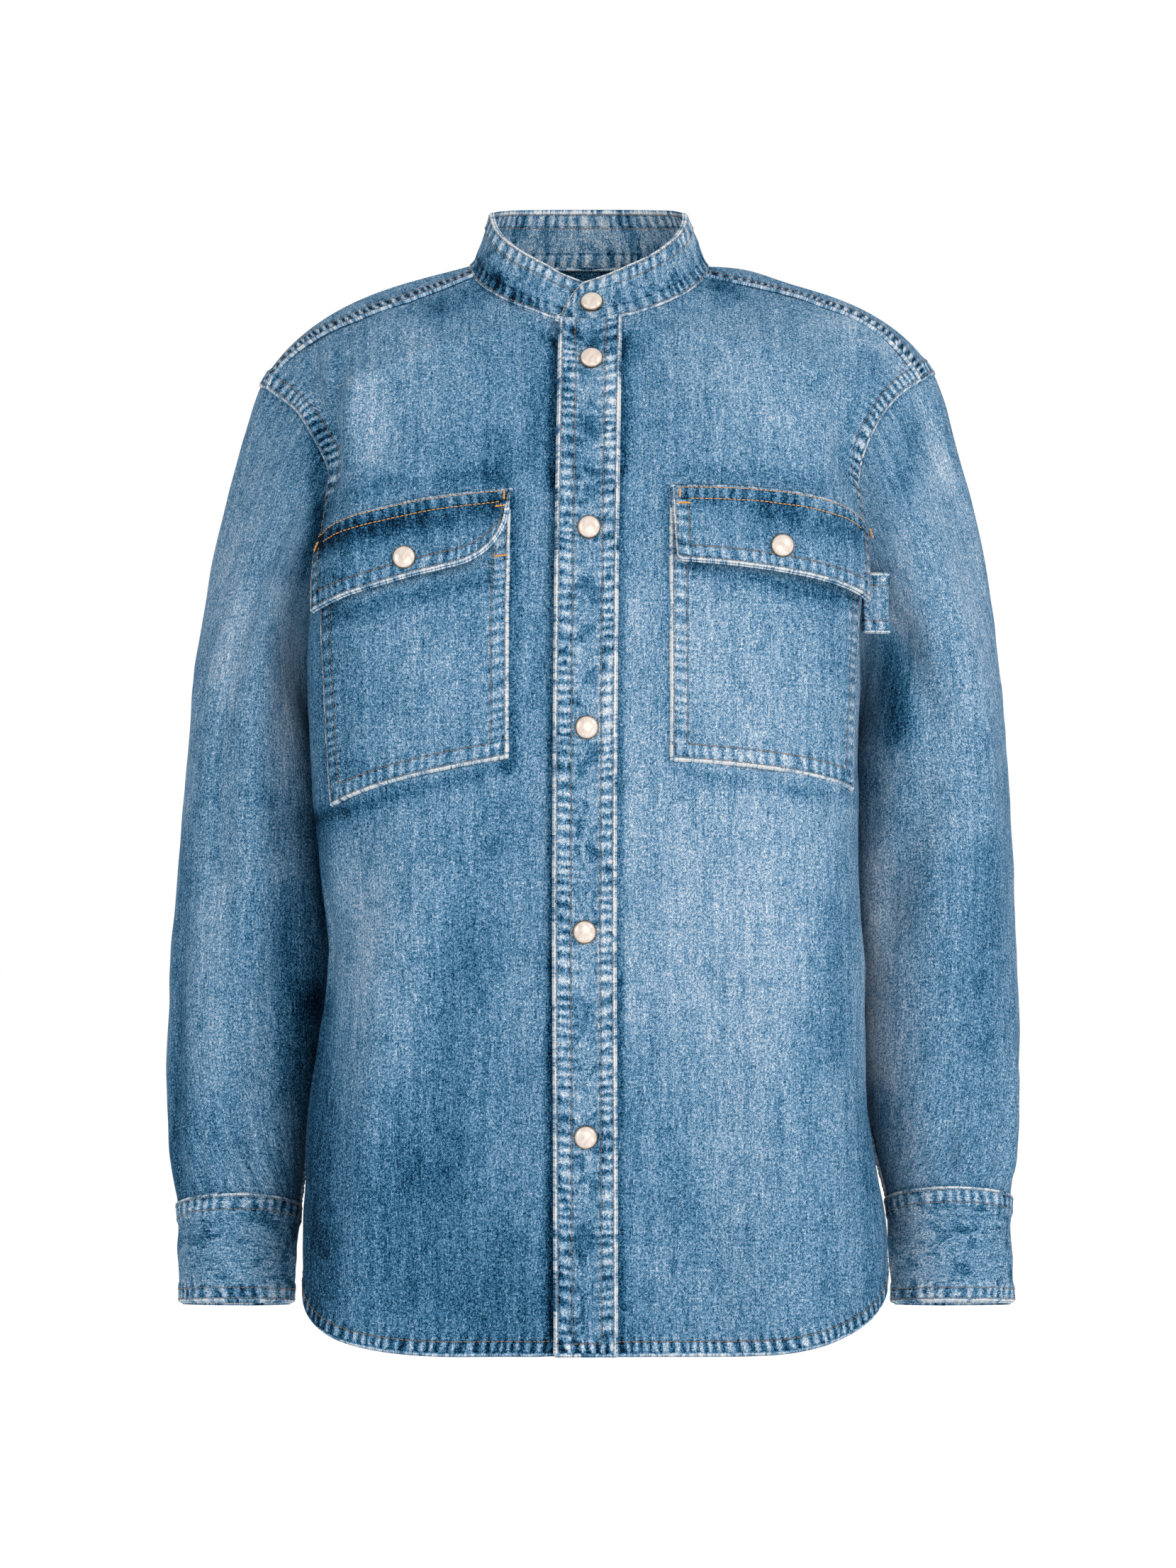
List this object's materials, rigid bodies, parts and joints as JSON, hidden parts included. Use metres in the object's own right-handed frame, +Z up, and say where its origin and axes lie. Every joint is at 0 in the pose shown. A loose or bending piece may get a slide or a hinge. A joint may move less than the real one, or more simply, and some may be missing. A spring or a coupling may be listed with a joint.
{
  "type": "denim shirt jacket",
  "caption": "Denim shirt jacket in its worn, hollow form, with a band collar, snap placket, flapped chest pockets, a side loop, long sleeves with cuffs and a curved hem.",
  "frame": {"origin": "on the middle line between the shoulders, level with the back neck seam, where the wearer's neck and shoulders hold the garment", "axes": "+Z up along the wearer, -Y to the front, +X to the wearer's left"},
  "size_m": [0.5737, 0.2623, 0.7604],
  "materials": {
    "back": "washed mid-blue denim, seams faded",
    "yoke": "washed mid-blue denim, seams faded",
    "front_right": "washed mid-blue denim, seams faded",
    "front_left": "washed mid-blue denim, seams faded",
    "placket": "washed mid-blue denim, seams faded",
    "collar": "washed mid-blue denim, seams faded",
    "sleeve_right": "washed mid-blue denim, seams faded",
    "sleeve_left": "washed mid-blue denim, seams faded",
    "cuff_right": "washed mid-blue denim, seams faded",
    "cuff_left": "washed mid-blue denim, seams faded",
    "sleeve_placket_right": "washed mid-blue denim, seams faded",
    "sleeve_placket_left": "washed mid-blue denim, seams faded",
    "pocket_right": "washed mid-blue denim, seams faded",
    "pocket_left": "washed mid-blue denim, seams faded",
    "flap_right": "washed mid-blue denim, seams faded",
    "flap_left": "washed mid-blue denim, seams faded",
    "loop": "washed mid-blue denim, seams faded",
    "snap_front_1": "pearl cap in a thin metal rim",
    "snap_front_2": "pearl cap in a thin metal rim",
    "snap_front_3": "pearl cap in a thin metal rim",
    "snap_front_4": "pearl cap in a thin metal rim",
    "snap_front_5": "pearl cap in a thin metal rim",
    "snap_front_6": "pearl cap in a thin metal rim",
    "snap_flap_right": "pearl cap in a thin metal rim",
    "snap_flap_left": "pearl cap in a thin metal rim",
    "snap_cuff_right": "pearl cap in a thin metal rim",
    "snap_cuff_left": "pearl cap in a thin metal rim"
  },
  "bodies": {
    "root": {"back": "back", "yoke": "yoke", "front_right": "front_right", "front_left": "front_left", "placket": "placket", "collar": "collar", "sleeve_right": "sleeve_right", "sleeve_left": "sleeve_left", "cuff_right": "cuff_right", "cuff_left": "cuff_left", "sleeve_placket_right": "sleeve_placket_right", "sleeve_placket_left": "sleeve_placket_left", "pocket_right": "pocket_right", "pocket_left": "pocket_left", "flap_right": "flap_right", "flap_left": "flap_left", "loop": "loop", "snap_front_1": "snap_front_1", "snap_front_2": "snap_front_2", "snap_front_3": "snap_front_3", "snap_front_4": "snap_front_4", "snap_front_5": "snap_front_5", "snap_front_6": "snap_front_6", "snap_flap_right": "snap_flap_right", "snap_flap_left": "snap_flap_left", "snap_cuff_right": "snap_cuff_right", "snap_cuff_left": "snap_cuff_left"}
  },
  "joints": []
}
